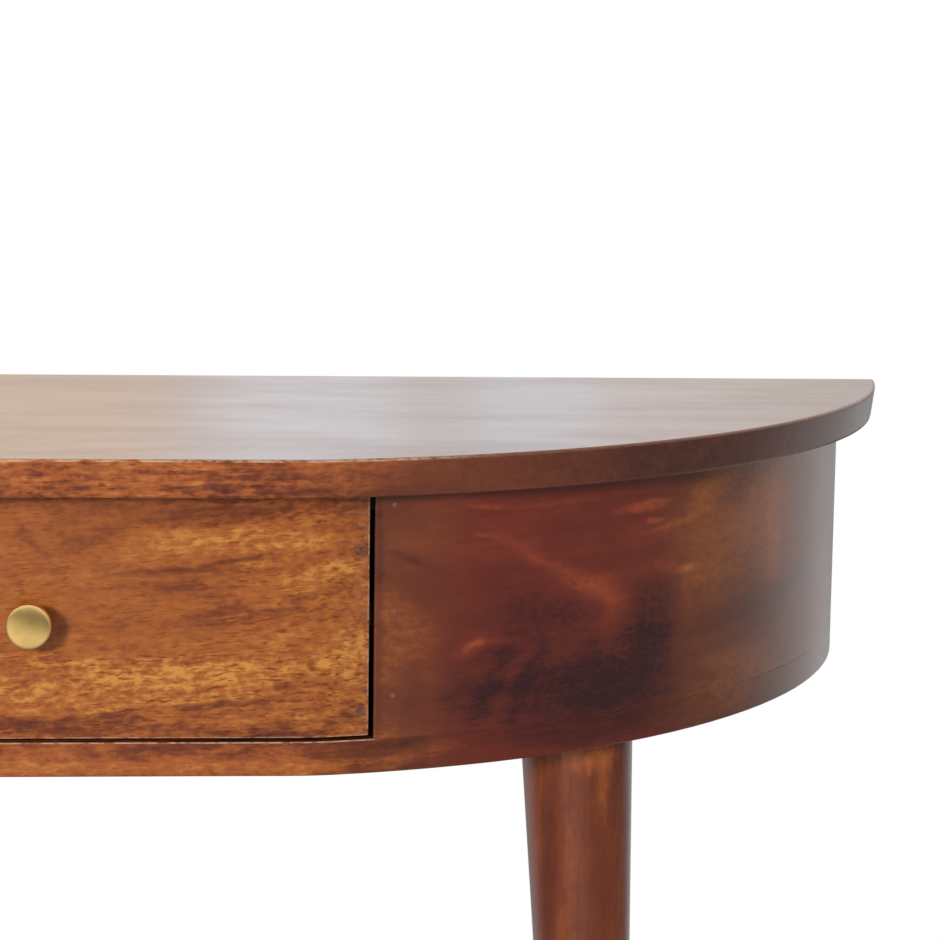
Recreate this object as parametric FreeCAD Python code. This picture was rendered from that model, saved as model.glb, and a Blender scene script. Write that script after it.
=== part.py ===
import FreeCAD, Part
import math
import os

# A half-moon console table that is screwed to a wall and stands on two front legs.
# One drawer with a small brass knob slides on wooden side runners.
# Millimetres, +Z up, the front faces -Y. The origin is on the floor, below the middle
# of the table's width and depth, so the back lies at Y = top_depth / 2.

Vector = FreeCAD.Vector
origin = Vector(0, 0, 0)
rightward = Vector(1, 0, 0)
rearward = Vector(0, 1, 0)
upward = Vector(0, 0, 1)

# Table top
table_height = 750.0
top_width = 1000.0
top_depth = 360.0
top_thick = 20.0
corner_radius = 150.0  # bend between the straight front and each round end
end_lean_deg = 8.12  # how far each round end still leans outward where it meets the wall
end_turn_deg = 79.04  # how far it has turned from there to its corner bend, counted from square on
top_round = 2.0
top_undercut = 2.6  # how far the underside's edge is drawn in, so that the edge slants

# Case under the top
case_inset = 23.0
case_height = 148.0
bottom_thick = 18.0
panel_thick = 18.0
partition_thick = 20.0
back_thick = 18.0
opening_width = 349.0
bottom_bevel = 0.6
panel_round = 1.0

# Rails, cleats and blocks inside the case
front_rail_wide = 30.0
front_rail_thick = 12.0
front_rail_gap = 1.0
rear_rail_thick = 18.0
rear_rail_tall = 30.0
cleat_section = 18.0
cleat_end_gap = 44.0  # from the panel and from the back panel to a cleat's ends
glue_block_size = 24.0
glue_block_bed = 4.0  # how much of a glue block is planed away to fit the curved panel
glue_block_shares = (0.24, 1.0)  # along the round end, from the wall to the last one's place

# Holes for the two screws that hold the table to the wall
wall_hole_spacing = 250.0
wall_hole_radius = 3.5
wall_sink_radius = 6.5
wall_hole_below_rail = 20.0

# Legs
leg_edge = 18.8  # from the case's outer face to the leg's top
leg_place_share = 0.3693  # of the way sideways from the partition to the case's far corner
leg_top_diameter = 63.0
leg_foot_diameter = 23.0
leg_lean_out_deg = 2.2
leg_lean_front_deg = 2.4
foot_round = 1.5
leg_block_reach = 40.0  # from the leg's middle to its block's front, rear and outer sides
leg_block_share = 0.59  # of the way from the partition to the leg's middle, where its block starts
leg_block_thick = 27.0
leg_block_screw_in = 12.0

# Bolt and threaded insert that hold each leg
bolt_radius = 4.0
bolt_in_leg = 45.0
bolt_above_board = 20.0
bolt_tip = 6.0
insert_radius = 6.5
insert_recess = 1.0
block_bore_play = 0.5

# Glide under each foot
glide_radius = 9.0
glide_thick = 3.0
glide_edge = 0.8
glide_nail_radius = 1.0
glide_nail_length = 15.0

# Drawer
drawer_end_thick = 14.2  # its face bows, so the drawer front is thinnest at its ends
drawer_gap = 2.5
drawer_low_gap = 2.0
drawer_top_gap = 2.6
drawer_round = 1.2
side_set_in = 0.5  # from each end of the drawer front to its side board
side_thick = 12.0
side_low_gap = 3.0
side_top_gap = 3.0
side_rear_gap = 1.0
box_back_thick = 12.0
box_back_set_in = 8.0
box_back_drop = 10.0
ply_thick = 5.0
ply_play = 0.1
ply_groove_depth = 5.0
ply_groove_up = 8.0
ply_tail = 2.0

# Runners and the grooves that ride on them
runner_tall = 12.0
runner_play = 0.3
runner_groove_depth = 6.0
runner_end_play = 0.5
runner_stop_play = 0.3
runner_stop_back = 19.0  # from the drawer front to the closed end of each groove
runner_rear_gap = 12.0

# Square pegs that join the drawer front to its sides
peg_wide = 4.8
peg_tall = 4.2
peg_wall = 1.3
peg_bite = 20.0
peg_height_shares = (0.107, 0.857)

# Knob, its bolt and washer
knob_radius = 11.5
knob_projection = 22.0
knob_disc_thick = 6.0
knob_disc_round = 1.4
knob_dome = 0.8  # how far the middle of the disc's face stands above its rim
knob_stem_radius = 4.5
knob_base_radius = 6.5
knob_base_thick = 2.5
knob_bolt_radius = 2.0
knob_bolt_bite = 10.0
knob_bolt_head_radius = 4.0
knob_bolt_head_tall = 2.6
washer_radius = 6.0
washer_thick = 1.0

# Countersunk wood screws
screw_head_radius = 4.0
screw_shank_radius = 1.9
screw_tip = 4.0
screw_bite = 22.0
screw_bite_share = 0.7  # of a board that a screw must not come through
recess_reach = 2.2
recess_wide = 0.9
recess_deep = 1.4
rail_screw_shares = (-0.7, 0.0, 0.7)
cleat_screw_shares = (0.2, 0.8)
partition_screw_shares = (0.15, 0.45, 0.75)
back_screw_shares = (-0.8, -0.3, 0.3, 0.8)
panel_screw_clear = 10.0  # from the partition to the nearest screw in the side panel
panel_screw_shares = (0.12, 0.55, 1.0)
rear_screw_shares = (0.2, 0.8)
runner_screw_shares = (0.08, 0.5, 0.92)
ply_screw_shares = (-0.65, 0.0, 0.65)

# Nails through the side panels' front edges, with their putty, and the drawer back's nails
nail_radius = 0.9
nail_bite = 22.0
putty_radius = 1.2
putty_deep = 2.0
nail_drop_shares = (0.058, 0.484, 0.828)  # of the bay's height, from the top down
box_nail_head_radius = 1.8
box_nail_head_thick = 0.8
box_nail_length = 30.0
box_nail_shares = (0.2, 0.8)

fit = 0.05  # clearance round each screw, nail, bolt and peg
overrun = 5.0  # how far a cutting tool reaches past what it cuts
same = 0.01  # two measures this close are one

# Levels and planes that several pieces share
back_y = top_depth / 2
front_y = back_y - top_depth
top_low = table_height - top_thick
case_low = top_low - case_height
bay_low = case_low + bottom_thick
bay_back = back_y - back_thick
case_front = front_y + case_inset
inner_inset = case_inset + panel_thick
half_opening = opening_width / 2
partition_mid_x = half_opening + partition_thick / 2
partition_out_x = half_opening + partition_thick
inner_half_width = top_width / 2 - inner_inset

# The half moon: each round end is an arc that touches the corner bend and ends at the wall
end_lean = math.radians(end_lean_deg)
end_turn = math.radians(end_turn_deg)
blend_angle = -end_turn
corner_rise = corner_radius * (1 - math.sin(end_turn))
end_radius = (top_depth - corner_rise) / (math.sin(end_turn) - math.sin(end_lean))
end_x = top_width / 2 - end_radius * math.cos(end_lean)
end_y = back_y + end_radius * math.sin(end_lean)
flat_x = end_x + (end_radius - corner_radius) * math.cos(end_turn)
corner_y = front_y + corner_radius


def block(x0, x1, y0, y1, z0, z1):
    """A box between two corners."""
    return Part.makeBox(x1 - x0, y1 - y0, z1 - z0, Vector(x0, y0, z0))


def mirrored(shape):
    """The left-hand twin of a right-hand piece."""
    return shape.mirror(origin, rightward)


def on_arc(x, y, radius, angle, z):
    return Vector(x + radius * math.cos(angle), y + radius * math.sin(angle), z)


def end_angle(inset, share, behind=0):
    """The direction from an end arc's centre to a point part of the way along it."""
    wall_angle = -math.asin((end_y - back_y - behind) / (end_radius - inset))
    return wall_angle + share * (blend_angle - wall_angle)


def end_point(inset, share, z, behind=0):
    """A point drawn in by inset from the right end, part of the way from the wall."""
    return on_arc(end_x, end_y, end_radius - inset, end_angle(inset, share, behind), z)


def end_angle_at(x, inset):
    """The direction from an end arc's centre to where the arc is x from the middle."""
    return -math.acos((x - end_x) / (end_radius - inset))


def end_angles_to(x, inset, shares):
    return between(end_angle(inset, 0), end_angle_at(x, inset), shares)


def flipped(point):
    return Vector(-point.x, point.y, point.z)


def outline(inset, z, behind=0):
    """The table's outline drawn in by inset, but flush at the wall or some way behind it."""
    bend = corner_radius - inset
    flat_end = Vector(flat_x, front_y + inset, z)
    bend_mid = on_arc(flat_x, corner_y, bend, (blend_angle - math.pi / 2) / 2, z)
    bend_end = on_arc(flat_x, corner_y, bend, blend_angle, z)
    end_mid = end_point(inset, 0.5, z, behind)
    end_wall = end_point(inset, 0.0, z, behind)
    edges = [
        Part.LineSegment(flipped(flat_end), flat_end),
        Part.Arc(flat_end, bend_mid, bend_end),
        Part.Arc(bend_end, end_mid, end_wall),
        Part.LineSegment(end_wall, flipped(end_wall)),
        Part.Arc(flipped(end_wall), flipped(end_mid), flipped(bend_end)),
        Part.Arc(flipped(bend_end), flipped(bend_mid), flipped(flat_end)),
    ]
    return Part.Wire([edge.toShape() for edge in edges])


def half_moon(inset, low, high):
    """A slab with the outline drawn in by inset."""
    return Part.Face(outline(inset, low)).extrude(upward * (high - low))


def eased_moon(high_inset, low_inset, low, high, ease, bevel=False):
    """A slab whose edge may slant, with its edges rounded or bevelled, but not at the wall."""
    wires = [outline(low_inset, low, overrun), outline(high_inset, high, overrun)]
    slab = Part.makeLoft(wires, True, True)
    edges = [
        edge for edge in slab.Edges
        if edge.BoundBox.ZLength < same and edge.CenterOfMass.y < back_y
    ]
    room = block(-top_width, top_width, front_y - overrun, back_y, low - overrun, high + overrun)
    eased = slab.makeChamfer(ease, edges) if bevel else slab.makeFillet(ease, edges)
    return eased.common(room)


def front_at(x, inset):
    """How far forward the outline reaches at a distance x from the middle."""
    bend = corner_radius - inset
    if x <= flat_x:
        return front_y + inset
    if x <= flat_x + bend * math.cos(blend_angle):
        return corner_y - math.sqrt(bend**2 - (x - flat_x) ** 2)
    return end_y - math.sqrt((end_radius - inset) ** 2 - (x - end_x) ** 2)


def placed(shape, at, toward):
    """Stand a piece made along +Z at a point, facing a direction."""
    shape.Placement = FreeCAD.Placement(at, FreeCAD.Rotation(upward, toward))
    return shape


def turned(section):
    """A solid turned about +Z from (radius, height) points."""
    points = [Vector(radius, 0, height) for radius, height in section]
    return Part.Face(Part.makePolygon(points + points[:1])).revolve(origin, upward, 360)


def rounded(shape, radius, chosen):
    """Round the edges that a test picks by their middle point."""
    edges = [edge for edge in shape.Edges if chosen(edge.CenterOfMass)]
    return shape.makeFillet(radius, edges)


def screw_outline(length, grow=0):
    """Half of a countersunk screw's section, from its head; grow makes room for it."""
    head = screw_head_radius + grow
    shank = screw_shank_radius + grow
    neck = screw_head_radius - screw_shank_radius
    lead = overrun if grow else 0
    start = [(0, -lead), (head, -lead)]
    if grow:
        start.append((head, 0))
    return start + [(shank, neck), (shank, length - screw_tip), (0, length + grow)]


def screw(at, toward, length):
    body = turned(screw_outline(length))
    slot = block(-recess_reach, recess_reach, -recess_wide / 2, recess_wide / 2, 0, recess_deep)
    cross = block(-recess_wide / 2, recess_wide / 2, -recess_reach, recess_reach, 0, recess_deep)
    return placed(body.cut([slot, cross]), at, toward)


def screw_hole(at, toward, length):
    return placed(turned(screw_outline(length, fit)), at, toward)


def both_sides(places):
    """Screw places on the right, with their mirror images on the left."""
    return places + [(flipped(at), flipped(toward), length) for at, toward, length in places]


def screw_group(places):
    return Part.makeCompound([screw(*place) for place in places])


def drilled(shape, *groups):
    """A piece with the holes of every screw in the groups."""
    return shape.cut([screw_hole(*place) for group in groups for place in group])


def between(low, high, shares):
    return [low + share * (high - low) for share in shares]


# Places of the drawer and its runners
front_half = half_opening - drawer_gap
box_front = front_at(front_half, case_inset) + drawer_end_thick
box_rear = bay_back - rear_rail_thick - side_rear_gap
side_out_x = front_half - side_set_in
side_in_x = side_out_x - side_thick
box_low = bay_low + side_low_gap
box_high = top_low - front_rail_thick - side_top_gap
box_mid_z = (box_low + box_high) / 2
ply_low = box_low + ply_groove_up + ply_play
ply_high = ply_low + ply_thick
box_back_rear = box_rear - box_back_set_in
box_back_front = box_back_rear - box_back_thick
box_back_high = box_high - box_back_drop
groove_stop = box_front + runner_stop_back
runner_front = groove_stop + runner_stop_play
runner_rear = bay_back - runner_rear_gap
runner_in_x = side_out_x - runner_groove_depth + runner_end_play
front_low = bay_low + drawer_low_gap
front_high = top_low - drawer_top_gap
knob_z = (front_low + front_high) / 2
peg_x = side_out_x - peg_wall - peg_wide / 2

# Places of the legs, rails, cleats and screws
front_rail_y = box_front + front_rail_gap
cleat_front = front_at(partition_out_x, inner_inset) + cleat_end_gap
cleat_rear = bay_back - cleat_end_gap
partition_front = front_at(half_opening, inner_inset)
panel_mid_inset = case_inset + panel_thick / 2
leg_inset = case_inset + leg_edge + leg_top_diameter / 2
leg_x = partition_out_x + leg_place_share * (inner_half_width - partition_out_x)
leg_top = on_arc(end_x, end_y, end_radius - leg_inset, end_angle_at(leg_x, leg_inset), case_low)
into_top = screw_bite_share * top_thick

top_screws = (
    [
        (Vector(share * half_opening, front_rail_y + front_rail_wide / 2, top_low - front_rail_thick),
         upward, front_rail_thick + into_top)
        for share in rail_screw_shares
    ]
    + [
        (Vector(share * half_opening, bay_back - rear_rail_thick / 2, top_low - rear_rail_tall),
         upward, rear_rail_tall + into_top)
        for share in rail_screw_shares
    ]
    + both_sides([
        (Vector(partition_out_x + cleat_section / 2, y, top_low - cleat_section),
         upward, cleat_section + into_top)
        for y in between(cleat_front, cleat_rear, cleat_screw_shares)
    ])
)
bottom_screws = (
    both_sides([
        (Vector(partition_mid_x, y, case_low), upward, bottom_thick + screw_bite)
        for y in between(partition_front, bay_back, partition_screw_shares)
    ])
    + both_sides([
        (on_arc(end_x, end_y, end_radius - panel_mid_inset, angle, case_low),
         upward, bottom_thick + screw_bite)
        for angle in end_angles_to(partition_out_x + panel_screw_clear, panel_mid_inset,
                                   panel_screw_shares)
    ])
    + [
        (Vector(share * inner_half_width, back_y - back_thick / 2, case_low),
         upward, bottom_thick + screw_bite)
        for share in back_screw_shares
    ]
)
rear_screws = both_sides([
    (Vector(partition_mid_x, back_y, z), -rearward, back_thick + screw_bite)
    for z in between(bay_low, top_low, rear_screw_shares)
])
runner_screws = both_sides([
    (Vector(runner_in_x, y, box_mid_z), rightward,
     half_opening - runner_in_x + screw_bite_share * partition_thick)
    for y in between(runner_front, runner_rear, runner_screw_shares)
])
leg_block_x = partition_out_x + leg_block_share * (leg_x - partition_out_x)
block_screw_reach = leg_block_reach - leg_block_screw_in
leg_block_screws = both_sides([
    (Vector(leg_block_x + leg_block_screw_in, leg_top.y + step, bay_low + leg_block_thick),
     -upward, leg_block_thick + screw_bite_share * bottom_thick)
    for step in (-block_screw_reach, block_screw_reach)
])
ply_screws = [
    (Vector(share * side_in_x, (box_back_front + box_back_rear) / 2, ply_low),
     upward, ply_thick + screw_bite)
    for share in ply_screw_shares
]


# Case
def table_top():
    slab = eased_moon(0, top_undercut, top_low, table_height, top_round)
    return drilled(slab, top_screws)


def bottom_board():
    board = eased_moon(case_inset, case_inset, case_low, bay_low, bottom_bevel, True)
    hole = insert_tool()
    return drilled(board, bottom_screws, leg_block_screws).cut([hole, mirrored(hole)])


def side_panel():
    """The right end of the case, bent round from the drawer opening to the wall."""
    ring = half_moon(case_inset, bay_low, top_low).cut(
        half_moon(inner_inset, bay_low - overrun, top_low + overrun)
    )
    panel = ring.common(block(half_opening, top_width, front_y, back_y, bay_low, top_low))
    opening_edge = front_at(half_opening, case_inset)
    panel = rounded(panel, panel_round, lambda p: abs(p.x - half_opening) < same
                    and abs(p.y - opening_edge) < same)
    return drilled(panel, bottom_screws).cut(nail_tools())


def partition():
    """The upright board that the right-hand runner is screwed to."""
    board = block(half_opening, partition_out_x, front_y, bay_back, bay_low, top_low)
    board = board.common(half_moon(inner_inset, bay_low, top_low))
    return drilled(board, bottom_screws, rear_screws, runner_screws).cut(nail_tools())


def back_panel():
    board = block(-top_width, top_width, bay_back, back_y, bay_low, top_low)
    board = board.common(half_moon(inner_inset, bay_low, top_low))
    board = drilled(board, bottom_screws, rear_screws)
    sink = wall_sink_radius - wall_hole_radius
    tool = [
        (0, -overrun), (wall_sink_radius, -overrun), (wall_sink_radius, 0),
        (wall_hole_radius, sink), (wall_hole_radius, back_thick + overrun), (0, back_thick + overrun),
    ]
    hole_z = top_low - rear_rail_tall - wall_hole_below_rail
    holes = [
        placed(turned(tool), Vector(x, bay_back, hole_z), rearward)
        for x in (-wall_hole_spacing / 2, wall_hole_spacing / 2)
    ]
    return board.cut(holes)


def front_rail():
    rail = block(-half_opening, half_opening, front_rail_y, front_rail_y + front_rail_wide,
                 top_low - front_rail_thick, top_low)
    return drilled(rail, top_screws)


def rear_rail():
    rail = block(-half_opening, half_opening, bay_back - rear_rail_thick, bay_back,
                 top_low - rear_rail_tall, top_low)
    return drilled(rail, top_screws)


def side_cleat():
    cleat = block(partition_out_x, partition_out_x + cleat_section, cleat_front, cleat_rear,
                  top_low - cleat_section, top_low)
    return drilled(cleat, top_screws)


def glue_blocks():
    """Small blocks in the corner of the right-hand panel and the top, clear of the partition."""
    half = glue_block_size / 2
    centre_inset = inner_inset + half - glue_block_bed
    last_x = partition_out_x + glue_block_size
    blocks = []
    for angle in end_angles_to(last_x, centre_inset, glue_block_shares):
        cube = block(-half, half, -half, half, top_low - glue_block_size, top_low)
        at = on_arc(end_x, end_y, end_radius - centre_inset, angle, 0)
        cube.Placement = FreeCAD.Placement(at, FreeCAD.Rotation(upward, math.degrees(angle)))
        blocks.append(cube.common(half_moon(inner_inset, bay_low, top_low)))
    return Part.makeCompound(blocks)


def nails():
    """Nails from the right-hand panel's front edge into the partition."""
    start = front_at(partition_mid_x, case_inset) + putty_deep
    length = panel_thick - putty_deep + nail_bite
    return Part.makeCompound([
        Part.makeCylinder(nail_radius, length, Vector(partition_mid_x, start, z), rearward)
        for z in between(top_low, bay_low, nail_drop_shares)
    ])


def putty():
    """The filling over each nail, level with the panel's face."""
    start = front_at(partition_mid_x, case_inset)
    plugs = [
        Part.makeCylinder(putty_radius, overrun + putty_deep,
                          Vector(partition_mid_x, start - overrun, z), rearward)
        for z in between(top_low, bay_low, nail_drop_shares)
    ]
    face = half_moon(case_inset, bay_low, top_low)
    return Part.makeCompound([plug.common(face) for plug in plugs])


def nail_tools():
    """Room for the nails and their putty in the right-hand panel and partition."""
    start = front_at(partition_mid_x, case_inset)
    length = panel_thick + nail_bite + fit
    tools = []
    for z in between(top_low, bay_low, nail_drop_shares):
        tools.append(Part.makeCylinder(nail_radius + fit, length,
                                       Vector(partition_mid_x, start, z), rearward))
        tools.append(Part.makeCylinder(putty_radius, overrun + putty_deep,
                                       Vector(partition_mid_x, start - overrun, z), rearward))
    return tools


# Legs
def leg_down():
    """The direction in which the right-hand leg runs to the floor."""
    out = math.tan(math.radians(leg_lean_out_deg))
    front = math.tan(math.radians(leg_lean_front_deg))
    return Vector(out, -front, 0) - upward


def foot_centre():
    return leg_top + leg_down() * (case_low - glide_thick)


def leg_axis():
    axis = leg_down()
    axis.normalize()
    return axis


def leg():
    """A tapered round leg, cut level under the case and above the glide."""
    axis = leg_axis()
    length = (foot_centre() - leg_top).Length
    taper = (leg_top_diameter - leg_foot_diameter) / 2 / length
    cone = Part.makeCone(
        leg_top_diameter / 2 + taper * overrun,
        leg_foot_diameter / 2 - taper * overrun,
        length + 2 * overrun, leg_top - axis * overrun, axis,
    )
    level = block(0, top_width, -top_depth, top_depth, glide_thick, case_low)
    shaft = cone.common(level)
    shaft = rounded(shaft, foot_round, lambda p: abs(p.z - glide_thick) < same)
    bolt_hole = Part.makeCylinder(bolt_radius + fit, bolt_in_leg + overrun + fit,
                                  leg_top - axis * overrun, axis)
    nail_hole = Part.makeCylinder(glide_nail_radius + fit, glide_nail_length + overrun + fit,
                                  foot_centre() - upward * overrun, upward)
    return shaft.cut([bolt_hole, nail_hole])


def hanger_bolt():
    """A headless bolt, pointed where it screws into the leg."""
    climb = bottom_thick + bolt_above_board
    section = [
        (0, -climb), (bolt_radius, -climb), (bolt_radius, bolt_in_leg - bolt_tip), (0, bolt_in_leg)
    ]
    return placed(turned(section), leg_top, leg_axis())


def threaded_insert():
    """The sleeve in the bottom board that the bolt screws into."""
    near = insert_recess
    far = bottom_thick - insert_recess
    bore = bolt_radius + fit
    section = [(bore, -far), (insert_radius, -far), (insert_radius, -near), (bore, -near)]
    return placed(turned(section), leg_top, leg_axis())


def insert_tool():
    """The insert's hole, open at the underside, with the bolt's way on upward."""
    wide = insert_radius + fit
    bore = bolt_radius + block_bore_play
    far = bottom_thick - insert_recess + fit
    rise = bottom_thick + overrun
    section = [(0, -rise), (bore, -rise), (bore, -far), (wide, -far), (wide, overrun), (0, overrun)]
    return placed(turned(section), leg_top, leg_axis())


def leg_block():
    """A block glued inside the case over the leg, shaped to the curved panel."""
    body = block(leg_block_x, leg_x + leg_block_reach, leg_top.y - leg_block_reach,
                 leg_top.y + leg_block_reach, bay_low, bay_low + leg_block_thick)
    body = body.common(half_moon(inner_inset, bay_low, top_low))
    reach = bottom_thick + leg_block_thick + 2 * overrun
    bore = Part.makeCylinder(bolt_radius + block_bore_play, reach, leg_top, -leg_axis())
    return drilled(body, leg_block_screws).cut(bore)


def foot_glide():
    """A plastic disc with its nail, under the right-hand foot."""
    section = [
        (0, 0), (glide_radius - glide_edge, 0), (glide_radius, glide_edge),
        (glide_radius, glide_thick), (glide_nail_radius, glide_thick),
        (glide_nail_radius, glide_thick + glide_nail_length - glide_nail_radius),
        (0, glide_thick + glide_nail_length),
    ]
    foot = foot_centre()
    return placed(turned(section), Vector(foot.x, foot.y, 0), upward)


def runner():
    """The strip on the right-hand partition that carries the drawer's side."""
    strip = block(runner_in_x, half_opening, runner_front, runner_rear,
                  box_mid_z - runner_tall / 2, box_mid_z + runner_tall / 2)
    return drilled(strip, runner_screws)


# Drawer
def peg(grow=0):
    """The two square pegs at the drawer front's right end; grow makes room for them."""
    half_wide = peg_wide / 2 + grow
    half_tall = peg_tall / 2 + grow
    return [
        block(peg_x - half_wide, peg_x + half_wide, front_y, box_front + peg_bite + grow,
              z - half_tall, z + half_tall)
        for z in between(box_low, box_high, peg_height_shares)
    ]


def both_pegs(grow=0):
    right = peg(grow)
    return right + [mirrored(one) for one in right]


def ply_room():
    """The space of the grooves that hold the drawer's plywood bottom."""
    reach = side_in_x + ply_groove_depth
    return block(-reach, reach, box_front - ply_groove_depth, box_rear + overrun,
                 ply_low - ply_play, ply_high + ply_play)


def drawer_front():
    board = half_moon(case_inset, front_low, front_high)
    board = board.common(block(-front_half, front_half, front_y, box_front, front_low, front_high))
    board = rounded(board, drawer_round, lambda p: p.y < box_front - drawer_round and (
        abs(p.z - front_low) < same or abs(p.z - front_high) < same
        or abs(abs(p.x) - front_half) < same))
    bolt_hole = Part.makeCylinder(knob_bolt_radius + fit, top_depth,
                                  Vector(0, front_y, knob_z), rearward)
    return board.cut(both_pegs(fit) + [ply_room(), bolt_hole])


def drawer_side():
    """The right-hand side board, with the groove that rides on the runner."""
    board = block(side_in_x, side_out_x, box_front, box_rear, box_low, box_high)
    half_groove = runner_tall / 2 + runner_play
    groove = block(side_out_x - runner_groove_depth, side_out_x + overrun, groove_stop,
                   box_rear + overrun, box_mid_z - half_groove, box_mid_z + half_groove)
    return board.cut([groove, ply_room()] + peg(fit) + box_nail_tools())


def drawer_back():
    board = block(-side_in_x, side_in_x, box_back_front, box_back_rear,
                  ply_high + ply_play, box_back_high)
    tools = box_nail_tools()
    return drilled(board, ply_screws).cut(tools + [mirrored(tool) for tool in tools])


def drawer_bottom():
    reach = side_in_x + ply_groove_depth - ply_play
    board = block(-reach, reach, box_front - ply_groove_depth + ply_play,
                  box_back_rear + ply_tail, ply_low, ply_high)
    return drilled(board, ply_screws)


def drawer_pegs():
    """All four pegs, cut level with the drawer's bowed front."""
    face = half_moon(case_inset, front_low, front_high)
    return Part.makeCompound([one.common(face) for one in both_pegs()])


def box_nail(grow=0):
    """A nail through the side board into the drawer's back; grow makes room for it."""
    head = box_nail_head_radius + grow
    shank = nail_radius + grow
    neck = box_nail_head_thick + grow
    lead = overrun if grow else 0
    section = [
        (0, -lead), (head, -lead), (head, neck), (shank, neck),
        (shank, box_nail_length - nail_radius), (0, box_nail_length + grow),
    ]
    y = (box_back_front + box_back_rear) / 2
    return [
        placed(turned(section), Vector(side_out_x, y, z), -rightward)
        for z in between(ply_high, box_back_high, box_nail_shares)
    ]


def box_nail_tools():
    return box_nail(fit)


def drawer_back_nails():
    right = box_nail()
    return Part.makeCompound(right + [mirrored(one) for one in right])


def knob():
    """A round brass knob, slightly domed, on a short stem that is bored for its bolt."""
    disc_back = knob_projection - knob_disc_thick
    section = [
        (0, 0), (knob_base_radius, 0), (knob_base_radius, knob_base_thick / 2),
        (knob_stem_radius, knob_base_thick), (knob_stem_radius, disc_back),
        (knob_radius, disc_back), (knob_radius, knob_projection), (0, knob_projection),
    ]
    dome_radius = (knob_radius**2 + knob_dome**2) / (2 * knob_dome)
    ball = Part.makeSphere(dome_radius, Vector(0, 0, knob_projection - dome_radius))
    body = turned(section).common(ball)
    rims = [
        edge for edge in body.Edges
        if edge.Closed and abs(edge.BoundBox.XLength - 2 * knob_radius) < same
    ]
    body = body.makeFillet(knob_disc_round, rims)
    bore = Part.makeCylinder(knob_bolt_radius + fit, knob_bolt_bite + fit)
    return placed(body.cut(bore), Vector(0, case_front, knob_z), -rearward)


def knob_bolt():
    """The bolt from inside the drawer, through the washer and front into the knob."""
    shank = washer_thick + box_front - case_front + knob_bolt_bite
    section = [
        (0, -knob_bolt_head_tall), (knob_bolt_head_radius, -knob_bolt_head_tall),
        (knob_bolt_head_radius, 0), (knob_bolt_radius, 0), (knob_bolt_radius, shank), (0, shank),
    ]
    body = turned(section)
    low = -knob_bolt_head_tall
    slot = block(-recess_reach, recess_reach, -recess_wide / 2, recess_wide / 2, low, low + recess_deep)
    cross = block(-recess_wide / 2, recess_wide / 2, -recess_reach, recess_reach, low, low + recess_deep)
    at = Vector(0, box_front + washer_thick, knob_z)
    return placed(body.cut([slot, cross]), at, -rearward)


def knob_washer():
    bore = knob_bolt_radius + fit
    section = [(bore, 0), (washer_radius, 0), (washer_radius, washer_thick), (bore, washer_thick)]
    return placed(turned(section), Vector(0, box_front, knob_z), rearward)


# Pieces with a left and a right twin
twins = {
    "side_panel": side_panel,
    "partition": partition,
    "side_cleat": side_cleat,
    "glue_blocks": glue_blocks,
    "leg": leg,
    "hanger_bolt": hanger_bolt,
    "threaded_insert": threaded_insert,
    "leg_block": leg_block,
    "foot_glide": foot_glide,
    "runner": runner,
    "drawer_side": drawer_side,
    "panel_nails": nails,
    "nail_putty": putty,
}
pieces = {
    "table_top": table_top(),
    "bottom_board": bottom_board(),
    "back_panel": back_panel(),
    "front_rail": front_rail(),
    "rear_rail": rear_rail(),
    "top_screws": screw_group(top_screws),
    "bottom_screws": screw_group(bottom_screws),
    "rear_screws": screw_group(rear_screws),
    "runner_screws": screw_group(runner_screws),
    "leg_block_screws": screw_group(leg_block_screws),
    "drawer_front": drawer_front(),
    "drawer_back": drawer_back(),
    "drawer_bottom": drawer_bottom(),
    "drawer_bottom_screws": screw_group(ply_screws),
    "drawer_pegs": drawer_pegs(),
    "drawer_back_nails": drawer_back_nails(),
    "knob": knob(),
    "knob_bolt": knob_bolt(),
    "knob_washer": knob_washer(),
}
for name, make in twins.items():
    piece = make()
    pieces[name + "_right"] = piece
    pieces[name + "_left"] = mirrored(piece)

os.makedirs("parts", exist_ok=True)
for name, piece in pieces.items():
    piece.exportStep("parts/" + name + ".step")
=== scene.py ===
import math

import bmesh
import bpy
from bpy.props import FloatProperty, FloatVectorProperty, PointerProperty
from mathutils import Matrix, Vector


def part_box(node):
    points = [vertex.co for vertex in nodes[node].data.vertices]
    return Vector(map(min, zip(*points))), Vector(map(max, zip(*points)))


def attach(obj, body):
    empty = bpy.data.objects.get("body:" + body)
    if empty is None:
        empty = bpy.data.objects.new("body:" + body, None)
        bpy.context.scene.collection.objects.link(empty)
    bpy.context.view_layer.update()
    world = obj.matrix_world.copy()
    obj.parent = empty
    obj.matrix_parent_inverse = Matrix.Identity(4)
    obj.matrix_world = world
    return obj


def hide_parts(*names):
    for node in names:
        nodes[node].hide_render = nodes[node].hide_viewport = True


bl_info = {
    "name": "Half-moon console table",
    "version": (1, 0, 0),
    "blender": (4, 5, 0),
    "location": "3D View > Sidebar > Console table",
    "description": "Finishes, stage and camera of a wall-mounted half-moon console table",
    "category": "Object",
}

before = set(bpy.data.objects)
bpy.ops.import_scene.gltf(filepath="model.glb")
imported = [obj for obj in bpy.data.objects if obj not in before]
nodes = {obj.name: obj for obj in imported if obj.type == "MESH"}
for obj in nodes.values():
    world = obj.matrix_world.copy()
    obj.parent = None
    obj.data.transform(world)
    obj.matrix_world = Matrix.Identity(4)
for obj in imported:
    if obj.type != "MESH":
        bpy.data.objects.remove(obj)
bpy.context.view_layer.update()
knob_low, knob_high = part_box("knob")
MM = 0.001

# The curved side panels' outer face is an arc about this point, in metres
END_CENTRE = (0.0792, 0.2400)
END_RADIUS = 0.4021
# Along the bottom board's edge, the arc's own length starts this far from the middle
BAND_START = 0.0782

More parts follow.
